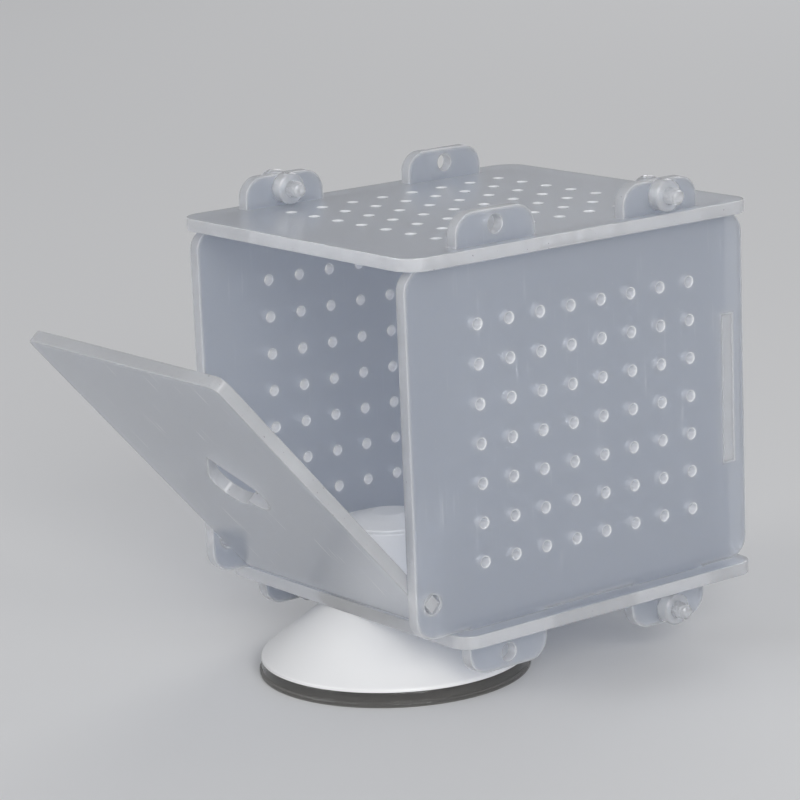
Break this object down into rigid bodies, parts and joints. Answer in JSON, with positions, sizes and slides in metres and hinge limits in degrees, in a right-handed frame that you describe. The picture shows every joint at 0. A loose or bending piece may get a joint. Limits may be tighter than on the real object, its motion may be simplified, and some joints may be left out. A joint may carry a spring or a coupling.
{
  "type": "aquarium breeding box",
  "caption": "Frosted sheet box with water holes, a tilting front flap with a heart finger hole, and a screw-down suction cup that holds it in a fish tank.",
  "frame": {"origin": "centre of the suction cup's face, where it meets the glass", "axes": "+Z out of the cup's face through the box to its top panel, -Y towards the flap door, +X to the right seen from the flap door"},
  "size_m": [0.0926, 0.1488, 0.1135],
  "materials": {
    "frosted_sheet": "satin",
    "clear_vinyl": "gloss",
    "white_plastic": "satin",
    "clear_plastic": "gloss"
  },
  "bodies": {
    "box": {"top_panel": "frosted_sheet", "bottom_panel": "frosted_sheet", "left_side_panel": "frosted_sheet", "right_side_panel": "frosted_sheet", "back_panel": "frosted_sheet", "cup_cover": "white_plastic", "screw_top_front": "clear_plastic", "nut_top_front": "clear_plastic", "screw_top_rear": "clear_plastic", "nut_top_rear": "clear_plastic", "screw_bottom_front": "clear_plastic", "nut_bottom_front": "clear_plastic", "screw_bottom_rear": "clear_plastic", "nut_bottom_rear": "clear_plastic"},
    "door": {"flap_door": "frosted_sheet"},
    "cup": {"suction_disc": "clear_vinyl", "cup_stud": "white_plastic"},
    "knob": {"lock_knob": "white_plastic"}
  },
  "joints": [
    {"name": "door_hinge", "type": "hinge", "parent": "box", "child": "door", "pos_m": [0, -0.0199, 0.0276], "axis": [1, 0, 0], "range_deg": [-35.7, 0]},
    {"name": "knob_spin", "type": "hinge", "parent": "box", "child": "knob", "pos_m": [0, 0, 0.0196], "axis": [0, 0, 1], "range_deg": [0, 720]},
    {"name": "cup_pull", "type": "slide", "parent": "box", "child": "cup", "axis": [0, 0, -1], "range_m": [0, 0.0034]}
  ],
  "couplings": [
    {"joint": "cup_pull", "follows": "knob_spin", "m_per_rad": 0.000238}
  ]
}
